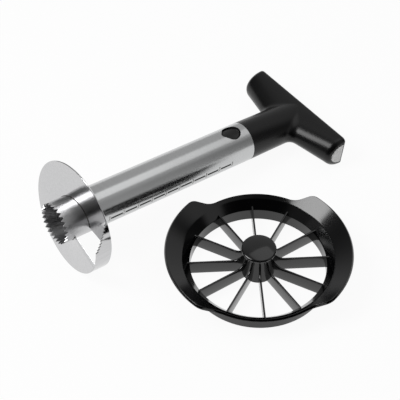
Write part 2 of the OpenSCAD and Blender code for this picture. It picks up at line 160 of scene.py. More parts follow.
# core cutter: duller than the tube, with one broad highlight that fades to both sides
coreSteel = brushedSteel("polishedStainlessSteel", ("#c2c2c3", "#d0d0d1"), (0.31, 0.35), (1.2, 30), 0.002, 0.6)
# blade: nearly a mirror, in which the core cutter shows again
bladeSteel = brushedSteel("polishedStainlessSheet", ("#bcbcbd", "#d0d0d1"), (0.09, 0.16), (30, 1.6), 0.004)
# weld seam: a bead of steel darker than the blade, so that the joint reads as a thin dark line
darkSeamSteel = brushedSteel("darkSeamBead", ("#4a4846", "#5c5a57"), (0.35, 0.45), (1.5, 1.5), 0.02)
# spring and screw: grey drawn wire with a blurred shine
springSteel = brushedSteel("drawnSpringWire", ("#a3a4a6", "#b8b9ba"), (0.25, 0.35), (0.8, 0.8), 0.01)
# handle: deep black with weak broad highlights
gripPlastic = mouldedPlastic("satinBlackNylon", ("#050506", "#09090a"), (0.25, 0.31), 0.9, 0.03, 1.39)
# plug: dark grey with no clear reflection
plugPlastic = mouldedPlastic("mattBlackNylon", ("#161719", "#1d1e20"), (0.5, 0.6), 0.8, 0.05, 1.53)
# end caps: nearly white and dull
capPlastic = mouldedPlastic("lightGreyAbs", ("#f8f8f7", "#fdfdfc"), (0.4, 0.5), 0.9, 0.03, 1.54)
# wedge cutter: black and glossy, so that it shows the floor and the room
wedgePlastic = mouldedPlastic("glossBlackAbs", ("#040405", "#070708"), (0.11, 0.16), 1.4, 0.003, 1.54)
# depth scale: dull black ink, and pale enamel for its marks
inkPlastic = mouldedPlastic("screenPrintInk", ("#0d0e0f", "#161718"), (0.5, 0.6), 0.5, 0.01, 1.5)
etchPlastic = mouldedPlastic("whiteScaleEnamel", ("#eeeeec", "#f8f8f6"), (0.4, 0.5), 0.5, 0.01, 1.5)
print("materials ready")

meshTidy = {"mergeM": 2e-6, "thinM": 1e-7}


def gridFaces(nu, nv, wrapU, wrapV, start):
    # four-sided faces between neighbours of a grid, joined round where it wraps
    idx = np.arange(nu * nv).reshape(nu, nv) + start
    if wrapU:
        idx = np.vstack([idx, idx[:1]])
    if wrapV:
        idx = np.hstack([idx, idx[:, :1]])
    return np.stack([idx[:-1, :-1], idx[1:, :-1], idx[1:, 1:], idx[:-1, 1:]], -1).reshape(-1, 4).tolist()


def tidyMesh(mesh, crease):
    bm = bmesh.new()
    bm.from_mesh(mesh)
    bmesh.ops.remove_doubles(bm, verts=bm.verts, dist=meshTidy["mergeM"])
    bmesh.ops.dissolve_degenerate(bm, edges=bm.edges, dist=meshTidy["thinM"])
    bmesh.ops.recalc_face_normals(bm, faces=bm.faces)
    bm.to_mesh(mesh)
    bm.free()
    mesh.shade_smooth()
    mesh.set_sharp_from_angle(angle=math.radians(crease))


def newObject(name, mesh):
    obj = bpy.data.objects.new(name, mesh)
    bpy.context.collection.objects.link(obj)
    return obj


def joinBody(obj, body, stands):
    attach(obj, body)
    if stands:
        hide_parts(*stands)


def makePiece(name, shells, material, body=None, stands=(), crease=35):
    # shells: grid of points in metres, wrap along its rows, wrap along its columns, flat ends on first and last row
    points, faces, start = [], [], 0
    for grid, wrapU, wrapV, ends in shells:
        nu, nv = grid.shape[:2]
        points.append(grid.reshape(-1, 3))
        faces += gridFaces(nu, nv, wrapU, wrapV, start)
        if ends:
            faces += [list(range(start, start + nv)), list(range(start + (nu - 1) * nv, start + nu * nv))]
        start += nu * nv
    mesh = bpy.data.meshes.new(name)
    mesh.from_pydata(np.concatenate(points).tolist(), [], faces)
    obj = newObject(name, mesh)
    tidyMesh(mesh, crease)
    mesh.materials.append(material)
    if body:
        joinBody(obj, body, stands)
    return obj


def cutAway(obj, tool, crease):
    # cuts another solid away for good, and drops it
    step = obj.modifiers.new("cut", "BOOLEAN")
    step.operation, step.object, step.solver = "DIFFERENCE", tool, "EXACT"
    mesh = bpy.data.meshes.new_from_object(obj.evaluated_get(bpy.context.evaluated_depsgraph_get()))
    obj.modifiers.clear()
    mesh.name = obj.name
    obj.data = mesh
    bpy.data.objects.remove(tool)
    tidyMesh(mesh, crease)


# tube, with finer rows round the button's window
tube = {"r": 16.5, "wall": 0.8, "front": 7.75, "back": 169, "edge": 0.2, "fineFrom": 138, "sides": 224, "crease": 35}
# button: width, point and gap of its outline, then its nose, its top and its window
button = {"x": 155.2, "w": 15.2, "point": 9.2, "gap": 0.3, "flank": 0.4, "blunt": 0.16,
    "noseBack": 0.35, "noseOut": 0.32, "noseWide": 0.7, "noseTip": 0.05,
    "topR": 15.3, "under": 4.0, "holeLow": 6.0, "holeHigh": 20.0}


def buttonOutline(grow, n=72):
    # round end towards the handle, straight sides to a blunt point towards the tip
    r, tip = button["w"] / 2 + grow, button["point"] + grow
    blunt = button["blunt"] * r
    shoulderX, shoulderY, noseY = -tip + button["noseBack"], blunt + button["noseOut"], blunt * button["noseWide"]
    nose = np.array([[shoulderX, shoulderY], [-tip, noseY], [-tip - button["noseTip"], 0],
        [-tip, -noseY], [shoulderX, -shoulderY]])
    side = math.acos(r / (tip + button["flank"] * r))
    a = np.linspace(-math.pi + side, math.pi - side, n - len(nose))
    return np.concatenate([np.stack([r * np.cos(a), r * np.sin(a)], -1), nose])


def turned(profile, n):
    # profile of (x, radius) turned about the slicer's axis
    angle = np.linspace(0, 360, n, endpoint=False)
    return layDown(roundAxis(profile[None, :, 0], profile[None, :, 1], angle[:, None]))


e, innerR = tube["edge"], tube["r"] - tube["wall"]
coarse = np.linspace(tube["front"] + e, tube["fineFrom"], 30)
fine = np.linspace(tube["fineFrom"], tube["back"] - e, 40)
lengthSteps = np.unique(np.concatenate([coarse, fine]))
outside = np.stack([lengthSteps, np.full_like(lengthSteps, tube["r"])], -1)
inside = np.stack([lengthSteps[::-1], np.full_like(lengthSteps, innerR)], -1)
tubeWall = np.concatenate([[[tube["front"], tube["r"] - e]], outside, [[tube["back"], tube["r"] - e]],
    [[tube["back"], innerR + e]], inside, [[tube["front"], innerR + e]]])
steelTube = makePiece("steelTube", [(turned(tubeWall, tube["sides"]), True, True, False)], tubeSteel)
hole = buttonOutline(button["gap"])
holeZ = np.array([button["holeLow"], button["holeHigh"]])
holeGrid = np.stack(np.broadcast_arrays(hole[None, :, 0] + button["x"], hole[None, :, 1], holeZ[:, None]), -1)
holeTool = makePiece("holeTool", [(layDown(holeGrid), False, True, True)], tubeSteel)
cutAway(steelTube, holeTool, tube["crease"])
joinBody(steelTube, "slicer", ["tube"])
print("tube ready")

# toothed core cutter; places across a tooth are shares of its width, with a flat of the tip's share at its point
core = {"reach": 16, "wall": 0.9, "teeth": 26, "depth": 2.8, "sleeve": 10, "tip": 0.06, "play": 0.05,
    "throat": 1.0, "bevel": 0.25, "across": (0.2, 0.35, 0.5, 0.65, 0.8), "crease": 28}
share = np.array([-core["tip"], core["tip"], *core["across"]])
notch = core["depth"] * np.interp(share, [-core["tip"], core["tip"], 0.5, 1 - core["tip"]], [0, 0, 1, 0])
toothAngle = ((np.arange(core["teeth"])[:, None] + share[None, :]) * 360 / core["teeth"]).reshape(-1, 1)
mouth = (np.tile(notch, core["teeth"]) - core["reach"])[:, None]
rim, sleeveR = tube["r"] - core["wall"], innerR - core["play"]
sleeveEnd = tube["front"] + core["sleeve"]
steps = np.linspace(0, 1, 12)
innerWall = roundAxis(mouth - mouth * steps, np.where(steps == 0, rim + core["bevel"], rim)[None, :], toothAngle)
throatR = np.array([rim, sleeveR - core["wall"], sleeveR - core["wall"]])
throat = roundAxis(np.array([[core["throat"], tube["front"], sleeveEnd]]), throatR[None, :], toothAngle)
sleeve = roundAxis(np.array([[sleeveEnd, tube["front"]]]), np.full((1, 2), sleeveR), toothAngle)
outerWall = roundAxis((mouth + (tube["front"] - mouth) * steps)[:, ::-1], tube["r"], toothAngle)
coreGrid = np.concatenate([innerWall, throat, sleeve, outerWall], 1)
makePiece("coreCutter", [(layDown(coreGrid), True, True, False)], coreSteel,
    "slicer", ["core_cutter"], core["crease"])
print("core cutter ready")

# spiral blade: a helicoid plate and the toothed wall at its rim
blade = {"r": 44.85, "inner": 16.7, "t": 1.0, "pitch": 13.5, "lead": 254, "open": 11.5, "bevel": 5, "keen": 0.25,
    "edge": 0.25, "spokes": 14, "wallBack": 42, "wallPlain": 19, "wallToothed": 29, "wallTeeth": 10, "wallSteps": 90,
    "wallLow": 0.2, "toothDepth": 1.6, "proud": 0.15, "crease": 25}


def helixX(back):
    # the blade climbs one pitch in a full turn, counted back from its leading edge
    return -blade["pitch"] / 2 + blade["pitch"] * back / 360


turn = 360 - blade["open"]
back = np.unique(np.concatenate([np.linspace(0, blade["bevel"], 12), np.linspace(blade["bevel"], turn, 420)]))
spokes = np.linspace(blade["inner"], blade["r"] - blade["edge"], blade["spokes"])
loopR = np.concatenate([spokes, [blade["r"], blade["r"]], spokes[::-1]])
loopSide = np.concatenate([np.zeros(len(spokes)), [blade["edge"], 1 - blade["edge"]], np.ones(len(spokes))])
thick = blade["t"] * np.minimum(1, blade["keen"] + (1 - blade["keen"]) * back / blade["bevel"])
plateX = helixX(back)[:, None] + blade["t"] / 2 - thick[:, None] * (1 - loopSide[None, :])
plate = roundAxis(plateX, loopR[None, :], (blade["lead"] - back)[:, None])

toothSteps = np.arange(0, 2 * blade["wallTeeth"] + 1)
ahead = np.concatenate([np.linspace(-blade["wallBack"], blade["wallPlain"], blade["wallSteps"], endpoint=False),
    blade["wallPlain"] + toothSteps * blade["wallToothed"] / (2 * blade["wallTeeth"])])
toothUp = np.concatenate([np.zeros(blade["wallSteps"]), toothSteps % 2 * blade["toothDepth"]])
lowStart = helixX(-blade["wallPlain"])
lowStop = helixX(360 - blade["wallPlain"] - blade["wallToothed"]) - blade["toothDepth"]
rise = np.clip((ahead - blade["wallPlain"]) / blade["wallToothed"], 0, 1)
low = np.where(ahead <= blade["wallPlain"], helixX(-ahead), lowStart + (lowStop - lowStart) * rise) + toothUp
grow = np.minimum(1, blade["wallLow"] + (ahead + blade["wallBack"]) / (blade["wallBack"] / 2))
high = low + (helixX(360 - ahead) - low) * grow
inR, outR = blade["r"] - blade["t"] + blade["proud"], blade["r"] + blade["proud"]
wall = roundAxis(np.stack([low, high, high, low], -1), np.array([[inR, inR, outR, outR]]),
    (blade["lead"] + ahead)[:, None])
makePiece("spiralBlade", [(layDown(plate), False, True, True), (layDown(wall), False, True, True)],
    bladeSteel, "slicer", ["spiral_blade"], blade["crease"])

# weld seam: a thin round bead along the blade's front face, where it meets the core cutter
weld = {"r": 16.65, "bead": 0.35, "clear": 2, "crease": 50}
weldBack = np.linspace(weld["clear"], turn - weld["clear"], 220)
beadA = np.linspace(0, 2 * math.pi, 8, endpoint=False)[None, :]
weldX = helixX(weldBack)[:, None] - blade["t"] / 2 + weld["bead"] * np.cos(beadA)
weldGrid = roundAxis(weldX, weld["r"] + weld["bead"] * np.sin(beadA), (blade["lead"] - weldBack)[:, None])
# the bead's steel is darker than the blade's, so that it shows as a thin dark line along the joint
makePiece("weldSeam", [(layDown(weldGrid), False, True, True)], darkSeamSteel,
    "slicer", (), weld["crease"])
print("spiral blade ready")

# depth scale on the tube: a dark line broken by pale marks, one mark to a turn of the blade
scale = {"angle": 264, "start": 24.5, "marks": 10, "line": 1.9, "mark": 1.2, "markLong": 5.6, "gap": 1.3,
    "lift": 0.03, "sink": 0.05}


def tubePatch(x0, x1, across, n=8):
    # thin curved plate on the tube between two places along it, centred on the scale's angle
    half = math.degrees(across / 2 / tube["r"])
    angle = np.linspace(scale["angle"] - half, scale["angle"] + half, n)
    r = tube["r"] + np.array([-scale["sink"], -scale["sink"], scale["lift"], scale["lift"]])
    return layDown(roundAxis(np.array([[x0, x1, x1, x0]]), r[None, :], angle[:, None])), False, True, True


marks = scale["start"] + blade["pitch"] * np.arange(scale["marks"])
makePiece("scaleLine",
    [tubePatch(a + scale["gap"], b - scale["gap"], scale["line"]) for a, b in zip(marks[:-1], marks[1:])],
    inkPlastic, "slicer")
makePiece("scaleMarks",
    [tubePatch(a - scale["mark"] / 2, a + scale["mark"] / 2, scale["markLong"]) for a in marks],
    etchPlastic, "slicer")

# handle: cross bar with a flat back, half-oval front and rounded ends, and a neck that grows out of the tube's line
grip = {"back": 235.5, "half": 55.1, "endRound": 4.5, "endTurn": 80, "h": 14, "midD": 31.5, "endD": 18.5,
    "round": 3, "leastRound": 0.5, "neckW": 17.5, "neckH": 13.7, "neckEnd": 233.25, "neckSeam": 0.03,
    "fillet": 9, "leastFillet": 1e-6, "fadeStop": 4, "fadeOver": 8, "cell": 0.9, "netFront": 4, "netRoom": 2,
    "crease": 40}
# end caps: steps of the crowned edge as (below the top, inset from the cap's side)
cap = {"l": 6, "proud": 0.4, "rim": 1.2, "gap": 0.08, "cutPast": 3, "crease": 40,
    "crown": ((0.3, 0), (0.12, 0.08), (0.05, 0.3), (0.02, 1.0), (0, 2.4))}
gripFull = grip["half"] - grip["endRound"]
endCos, endSin = cosSin(grip["endTurn"])
endScale = grip["endRound"] / endSin
endInset = endScale * (1 - endCos)


def barDepth(y):
    # the bar is deepest in the middle and narrows evenly to where its ends round off
    return grip["midD"] + (grip["endD"] - grip["midD"]) * np.abs(y) / gripFull


def barSection(y, rim, n=56):
    # half oval in front, quarter rounds behind, going round from the top; the end's rounding insets it half as far
    # at the front and back as at the top, and the rim insets it all round
    r, h = max(grip["round"] - endInset - rim, grip["leastRound"]), grip["h"] - endInset - rim
    run = endInset / 2 + rim
    x, front = grip["back"] - run - r, barDepth(y) - 2 * run - r
    a = np.linspace(0, math.pi, n)
    b = np.linspace(0, math.pi / 2, 9)
    oval = np.stack([x - front * np.sin(a), h * np.cos(a)], -1)
    lowRound = np.stack([x + r * np.sin(b[1:]), -(h - r) - r * np.cos(b[1:])], -1)
    topRound = np.stack([x + r * np.cos(b[:-1]), (h - r) + r * np.sin(b[:-1])], -1)
    section = np.concatenate([oval, lowRound, topRound])
    return np.stack([section[:, 0], np.full(len(section), y), section[:, 1]], -1)


def ovalGap(p, q, a, b):
    # nearly the distance to an oval: how far out the point is, times that less one, over the slope of it
    out = np.hypot(p / a, q / b)
    return out * (out - 1) / (np.hypot(p / a ** 2, q / b ** 2) + tiny)


def barGap(p):
    # distance to the cross bar: half oval in front of the line where its back rounds start, rounded box behind it
    x, y, z = p.T
    past = np.clip((np.abs(y) - gripFull) / endScale, 0, endSin)
    inset = endScale * (1 - np.sqrt(1 - past ** 2))
    r, h = np.maximum(grip["round"] - inset, grip["leastRound"]), grip["h"] - inset
    ahead = grip["back"] - inset / 2 - r - x
    up, rear = np.abs(z) - h + r, -ahead
    box = np.hypot(np.maximum(up, 0), np.maximum(rear, 0)) + np.minimum(np.maximum(up, rear), 0) - r
    oval = ovalGap(ahead, z, barDepth(y) - inset - r, h)
    return np.maximum(np.where(ahead > 0, oval, box), np.abs(y) - grip["half"])


def neckGap(p):
    # distance to the neck: an oval that goes from the tube's round to a wider and lower one inside the bar
    x, y, z = p.T
    go = (x - tube["back"]) / (grip["neckEnd"] - tube["back"])
    wide, tall = tube["r"] + (grip["neckW"] - tube["r"]) * go, tube["r"] + (grip["neckH"] - tube["r"]) * go
    return np.maximum(ovalGap(y, z, wide, tall), x - grip["neckEnd"])


def slopeOf(gap, p, here, step=0.02):
    # slope of a distance by small steps along the three axes
    return np.stack([gap(p + step * np.eye(3)[i]) - here for i in range(3)], -1) / step


def gripGap(p):
    # bar and neck joined by a fillet that is widest where they meet square, and fades where they run alike
    # and towards the back
    a, b = barGap(p), neckGap(p)
    sa, sb = slopeOf(barGap, p, a), slopeOf(neckGap, p, b)
    alike = (sa * sb).sum(-1) / (np.linalg.norm(sa, axis=-1) * np.linalg.norm(sb, axis=-1) + tiny)
    fade = np.clip((grip["neckEnd"] - grip["fadeStop"] - p[:, 0]) / grip["fadeOver"], 0, 1)
    k = grip["fillet"] * (1 - alike) * fade + grip["leastFillet"]
    return np.minimum(a, b) - np.maximum(k - np.abs(a - b), 0) ** 2 / (4 * k)


def surfaceNet(gap, low, high, cell, moves=4):
    # closed surface where a distance is nought: one point in each cell that it crosses, at the mean of the cell's
    # edge crossings, moved on to it along its slope, and a face round each grid edge that it crosses
    count = np.ceil((np.array(high) - low) / cell).astype(int) + 1
    index = np.stack(np.meshgrid(*[np.arange(c) for c in count], indexing="ij"), -1)
    field = gap((index * cell + low).reshape(-1, 3)).reshape(count)
    inside = field < 0
    corners = [np.array([i, j, k]) for i in (0, 1) for j in (0, 1) for k in (0, 1)]

    def cellCorner(values, c):
        return values[c[0]:c[0] + count[0] - 1, c[1]:c[1] + count[1] - 1, c[2]:c[2] + count[2] - 1]

    total = sum(cellCorner(inside, c).astype(int) for c in corners)
    active = (total > 0) & (total < len(corners))
    base = index[:-1, :-1, :-1][active]
    corner = {tuple(c): cellCorner(field, c)[active] for c in corners}
    middle, hits = np.zeros((len(base), 3)), np.zeros((len(base), 1))
    for c in corners:
        for d in np.eye(3, dtype=int)[c == 0]:
            f, g = corner[tuple(c)], corner[tuple(c + d)]
            cross = ((f < 0) != (g < 0))[:, None]
            middle += np.where(cross, c + (f / np.where(f == g, 1, f - g))[:, None] * d, 0)
            hits += cross
    points = (base + middle / hits) * cell + low
    for _ in range(moves):
        here = gap(points)
        slope = slopeOf(gap, points, here)
        points = points - (here / (slope ** 2).sum(-1))[:, None] * slope
    number = np.full(count - 1, -1)
    number[active] = np.arange(len(base))
    faces = []
    for axis in range(3):
        u, v = np.eye(3, dtype=int)[[i for i in range(3) if i != axis]]
        edge = np.argwhere(inside != np.roll(inside, -1, axis))
        edge = edge[((edge > 0) & (edge < count - 1)).all(-1)]
        faces.append(np.stack([number[tuple((edge - s).T)] for s in (0 * u, u, u + v, v)], -1))
    return points, np.concatenate(faces)


spare = grip["netRoom"]
netLow = (tube["back"] - grip["netFront"], -grip["half"] - spare, -tube["r"] - spare)
netHigh = (grip["back"] + spare, grip["half"] + spare, tube["r"] + spare)
points, faces = surfaceNet(gripGap, netLow, netHigh, grip["cell"])
mesh = bpy.data.meshes.new("handleGrip")
mesh.from_pydata(layDown(points).tolist(), [], faces.tolist())
# the neck's front is cut off flat against the tube's end
bm = bmesh.new()
bm.from_mesh(mesh)
neckFront = tube["back"] + grip["neckSeam"]
cutAt, cutOn = layDown(np.array([[neckFront, 0, 0], [neckFront + 1, 0, 0]]))
bmesh.ops.bisect_plane(bm, geom=bm.verts[:] + bm.edges[:] + bm.faces[:], plane_co=cutAt, plane_no=cutOn - cutAt,
    clear_inner=True)
bmesh.ops.holes_fill(bm, edges=[edge for edge in bm.edges if edge.is_boundary])
bm.to_mesh(mesh)
bm.free()
handleGrip = newObject("handleGrip", mesh)
mesh.materials.append(gripPlastic)
pocketRim = cap["rim"] - cap["gap"]
for side in (1, -1):
    # pocket for the end cap, cut from a little below the cap's foot to past the arm's end
    pocketEnds = (grip["half"] - cap["l"] - cap["gap"], grip["half"] + cap["cutPast"])
    pocketGrid = np.stack([barSection(side * y, pocketRim) for y in pocketEnds])
    pocketTool = makePiece("pocketTool", [(layDown(pocketGrid), False, True, True)], gripPlastic)
    cutAway(handleGrip, pocketTool, grip["crease"])
joinBody(handleGrip, "handle", ["handle_grip"])

for side, label in ((1, "Left"), (-1, "Right")):
    # end cap: fills its pocket and stands a little proud, with a rounded edge and a slightly crowned face
    top = grip["half"] + cap["proud"]
    capRows = [(grip["half"] - cap["l"], 0)] + [(top - below, inset) for below, inset in cap["crown"]]
    capGrid = np.stack([barSection(side * y, cap["rim"] + inset) for y, inset in capRows])
    makePiece("endCap" + label, [(layDown(capGrid), False, True, True)], capPlastic,
        "handle", ["end_cap_" + label.lower()], cap["crease"])
print("handle ready")

# release button: drop-shaped, its top following the tube's round; rings in from its outline as shares of it,
# each with how far it lies below that round, after a first ring at the button's foot
buttonTop = {"share": (1, 1, 0.985, 0.94, 0.8, 0.6, 0.4, 0.2, 0.0),
    "below": (0, 0.7, 0.25, 0.0, 0.05, 0.15, 0.22, 0.26, 0.28), "crease": 40}
ringShare, below = np.array(buttonTop["share"])[:, None], np.array(buttonTop["below"])[:, None]
outline = buttonOutline(0)
buttonY = ringShare * outline[None, :, 1]
buttonZ = np.sqrt(button["topR"] ** 2 - buttonY ** 2) - below
buttonZ[0] = button["under"]
buttonGrid = np.stack([button["x"] + ringShare * outline[None, :, 0], buttonY, buttonZ], -1)
makePiece("releaseButton", [(layDown(buttonGrid), False, True, True)], gripPlastic,
    "button", ["release_button"], buttonTop["crease"])

# button spring: round wire carried along a helix with flat ends of half a turn
spring = {"turns": 6, "endTurns": 0.5, "r": 3.4, "wire": 0.4, "foot": -9.95, "top": 5.57, "crease": 50}
u = np.linspace(0, 1, 260)
flat = spring["endTurns"] / spring["turns"]
coilZ = spring["foot"] + (spring["top"] - spring["foot"]) * np.clip((u - flat) / (1 - 2 * flat), 0, 1)
coilA = 2 * math.pi * spring["turns"] * u
wireA = np.linspace(0, 2 * math.pi, 12, endpoint=False)
coilR = spring["r"] + spring["wire"] * np.cos(wireA)[None, :]
coilGrid = np.stack([button["x"] + coilR * np.cos(coilA)[:, None], coilR * np.sin(coilA)[:, None],
    coilZ[:, None] + spring["wire"] * np.sin(wireA)[None, :]], -1)
makePiece("buttonSpring", [(layDown(coilGrid), False, True, True)], springSteel,
    "handle", ["button_spring"], spring["crease"])
print("button ready")

# wedge cutter's ring: upright wall, straight flare up to a crease, then a narrow flange that widens into two
# grip wings
ring = {"r": 53, "wall": 2.4, "h": 11, "run": 6, "crease": 18.5, "bend": 0.35, "flange": 3.0, "slope": 34,
    "wingRun": 12.2, "half": 47.5, "runout": 10, "corner": 4, "notchBack": 5, "notchTurn": 6, "soft": 0.4,
    "footSoft": 0.5, "rows": (0.5, 4, 8), "wingSteps": (0.06, 0.94, 8), "leastBack": 0.5,
    "creaseRows": (0.6, 0.15), "sharp": 40}


def roundCorner(start, corner, stop, n):
    # curve of second order from start to stop, pulled towards the corner
    t = np.linspace(0, 1, n)[:, None]
    return (1 - t) ** 2 * start + 2 * t * (1 - t) * corner + t * t * stop


along, down = polar(1, ring["slope"]), polar(1, ring["slope"] - 90)
slopeCos, slopeSin = cosSin(ring["slope"])
creaseR, wallOut = ring["r"] + ring["run"], ring["r"] + ring["wall"]
flangeOut = creaseR + ring["flange"] + ring["wall"] * slopeSin
wingOut = creaseR + ring["wingRun"] + ring["wall"] * slopeSin
foot, crease = np.array([ring["r"], ring["h"]]), np.array([creaseR, ring["crease"]])
flareWay = (crease - foot) / np.linalg.norm(crease - foot)
flareNormal = np.array([flareWay[1], -flareWay[0]])
flareLow = ring["h"] + ring["wall"] * (flareNormal[1] + (1 - flareNormal[0]) * flareWay[1] / flareWay[0])
outFoot = np.array([wallOut, flareLow])
inBend = roundCorner(foot - [0, ring["bend"]], foot, foot + ring["bend"] * flareWay, 7)
outBend = roundCorner(outFoot + ring["bend"] * flareWay, outFoot, outFoot - [0, ring["bend"]], 7)

# plan of a wing's end: its edge, a round corner, a straight end, and a hollow corner into the flange
notchAngle = ring["half"] + ring["runout"]
tip, notchAt = polar(wingOut, ring["half"]), polar(flangeOut, notchAngle)
cornerStart = polar(wingOut, ring["half"] - math.degrees(ring["corner"] / wingOut))
endWay = (notchAt - tip) / np.linalg.norm(notchAt - tip)
cornerStop, notchStart = tip + ring["corner"] * endWay, notchAt - ring["notchBack"] * endWay
notchStop = polar(flangeOut, notchAngle + ring["notchTurn"])
planPts = np.concatenate([roundCorner(cornerStart, tip, cornerStop, 14),
    cornerStop + (notchStart - cornerStop) * np.linspace(0, 1, 16)[1:, None],
    roundCorner(notchStart, notchAt, notchStop, 16)[1:]])
planAngle = np.degrees(np.arctan2(planPts[:, 1], planPts[:, 0]))
planR = np.hypot(planPts[:, 0], planPts[:, 1])
quarter = np.concatenate([np.linspace(0, planAngle[0], 40)[:-1], planAngle, np.linspace(planAngle[-1], 90, 60)[1:]])
halfTurn = np.concatenate([-quarter[:0:-1], quarter])[:-1]
fromWing = np.abs(np.concatenate([halfTurn, halfTurn]))
plan = np.concatenate([halfTurn, halfTurn + 180])
reach = np.interp(fromWing, planAngle, planR, left=wingOut, right=planR[-1])
reach = (reach - ring["wall"] * slopeSin - creaseR)[:, None] / slopeCos

# section in the wing's own slanted axes, from the crease out over soft edges and back along the underside
s = ring["soft"]
b = np.radians(np.linspace(0, 90, 6))
steps = np.linspace(*ring["wingSteps"])
level = np.zeros(len(steps))
outEdge = reach - s + s * np.concatenate([np.sin(b), np.cos(b)])
alongWing = np.concatenate([reach * steps, outEdge, np.maximum(reach * steps[::-1], ring["leastBack"])], 1)
acrossWing = np.concatenate([level, s - s * np.cos(b), ring["wall"] - s + s * np.sin(b), level + ring["wall"]])
mitre = crease + ring["wall"] * (flareNormal + down) / (1 + flareNormal @ down)
wing = crease + alongWing[..., None] * along + acrossWing[None, :, None] * down
creaseIn = np.array([crease - under * flareWay for under in ring["creaseRows"]])
upright = np.array([[ring["r"], z] for z in ring["rows"]])
outer = np.array([[wallOut, z] for z in ring["rows"][::-1]]
    + [[wallOut - ring["footSoft"], 0], [ring["r"] + ring["footSoft"], 0]])


def allRound(rows):
    # the same stretch of section at every place round the ring
    return np.broadcast_to(rows[None], (len(plan), *rows.shape))


section = np.concatenate([allRound(upright), allRound(inBend), allRound(creaseIn), wing, allRound(mitre[None]),
    allRound(outBend), allRound(outer)], 1)
a = np.radians(plan)[:, None]
ringGrid = np.stack([section[..., 0] * np.cos(a), section[..., 0] * np.sin(a), section[..., 1]], -1)
makePiece("wedgeRing", [(standBeside(ringGrid), True, True, False)], wedgePlastic,
    "wedge_cutter", ["wedge_ring"], ring["sharp"])
print("wedge ring ready")

# hub with a flared foot, and its domed cap
hub = {"foot": 13, "top": 10.5, "low": 0.5, "high": 24.8, "footSoft": 0.4, "sides": 96, "crease": 35}
hubCap = {"r": 13.5, "h": 2.4, "dome": 2.2, "edge": 1.0, "rimBelow": 0.5, "rimIn": 0.35, "rimAbove": 0.1, "crease": 50}


def turnedUpright(profile, n):
    # profile of (radius, z) turned about the upright axis of the wedge cutter
    a = np.linspace(0, 2 * math.pi, n, endpoint=False)[:, None]
    r, z = profile[None, :, 0], profile[None, :, 1]
    return standBeside(np.stack(np.broadcast_arrays(r * np.cos(a), r * np.sin(a), z), -1))


z = np.linspace(hub["low"] + hub["footSoft"], hub["high"], 24)
hubSide = hub["foot"] + (hub["top"] - hub["foot"]) * (z - hub["low"]) / (hub["high"] - hub["low"])
hubProfile = np.concatenate([[[0, hub["low"]], [hub["foot"] - hub["footSoft"], hub["low"]]],
    np.stack([hubSide, z], -1), [[0, hub["high"]]]])
makePiece("wedgeHub", [(turnedUpright(hubProfile, hub["sides"]), True, False, False)], wedgePlastic,
    "wedge_cutter", ["wedge_hub"], hub["crease"])
q = np.radians(np.linspace(0, 90, 8))
capTop = hub["high"] + hubCap["h"]
lowEdge = np.stack([hubCap["r"] - hubCap["edge"] + hubCap["edge"] * np.sin(q),
    hub["high"] + hubCap["edge"] - hubCap["edge"] * np.cos(q)], -1)
domeR = (hubCap["r"] ** 2 + hubCap["dome"] ** 2) / (2 * hubCap["dome"])
r = hubCap["r"] * np.linspace(1, 0, 24)
dome = np.stack([r, capTop + hubCap["dome"] - domeR + np.sqrt(domeR ** 2 - r ** 2)], -1)
dome[0] = [hubCap["r"], capTop - hubCap["rimBelow"]]
dome[1] = [hubCap["r"] - hubCap["rimIn"], capTop + hubCap["rimAbove"]]
capProfile = np.concatenate([[[0, hub["high"]]], lowEdge, dome])
makePiece("hubCap", [(turnedUpright(capProfile, hub["sides"]), True, False, False)], wedgePlastic,
    "wedge_cutter", ["hub_cap"], hubCap["crease"])

# wedge blades: upright plates with a bevelled cutting edge below, a rounded back and a sweep up to the hub;
# the back's steps are shares of half the thickness, each with how far it lies below the top
wedge = {"count": 12, "t": 1.5, "h": 13.5, "bevel": 3, "lift": 0.5, "inner": 9.2, "outer": 54.2, "gusset": 21,
    "gussetIn": 0.5, "edge": 0.15, "topGap": 0.02, "leanOver": 4, "backShare": (1, 1, 0.85, 0.5, 0),
    "backBelow": (2.0, 0.5, 0.18, 0.04, 0), "crease": 25}
q = np.radians(np.linspace(90, 0, 20))
gussetR = wedge["gusset"] - (wedge["gusset"] - hub["top"] - wedge["gussetIn"]) * np.sin(q)
gussetZ = hub["high"] - (hub["high"] - wedge["h"]) * np.cos(q)
straight = np.linspace(wedge["gusset"], wedge["outer"], 26)[1:]
bladeR = np.concatenate([[wedge["inner"]], gussetR, straight])
bladeTop = np.concatenate([[hub["high"]], gussetZ, np.full(len(straight), wedge["h"])]) - wedge["topGap"]
halfT = wedge["t"] / 2
sideY = np.array([wedge["edge"], halfT, *[k * halfT for k in wedge["backShare"]]])
lowZ = np.array([wedge["lift"], wedge["lift"] + wedge["bevel"]])
halfZ = np.concatenate([np.broadcast_to(lowZ, (len(bladeR), 2)), bladeTop[:, None] - wedge["backBelow"]], 1)
loopY = np.concatenate([sideY, -sideY[-2::-1]])
loopZ = np.concatenate([halfZ, halfZ[:, -2::-1]], 1)
# the outer end leans out with the ring's flare above the upright wall
nearEnd = np.clip((bladeR - wedge["outer"] + wedge["leanOver"]) / wedge["leanOver"], 0, 1)[:, None]
leanOut = np.maximum(loopZ - ring["h"], 0) * flareWay[0] / flareWay[1] * nearEnd
bladeGrid = np.stack(np.broadcast_arrays(bladeR[:, None] + leanOut, loopY[None, :], loopZ), -1)
for i in range(1, wedge["count"] + 1):
    c, s = cosSin(360 / wedge["count"] * i)
    turnZ = np.array([[c, s, 0], [-s, c, 0], [0, 0, 1]])
    makePiece(f"wedgeBlade{i:02d}", [(standBeside(bladeGrid @ turnZ), False, True, True)], wedgePlastic,
        "wedge_cutter", [f"wedge_blade_{i:02d}"], wedge["crease"])
print("wedge cutter ready")

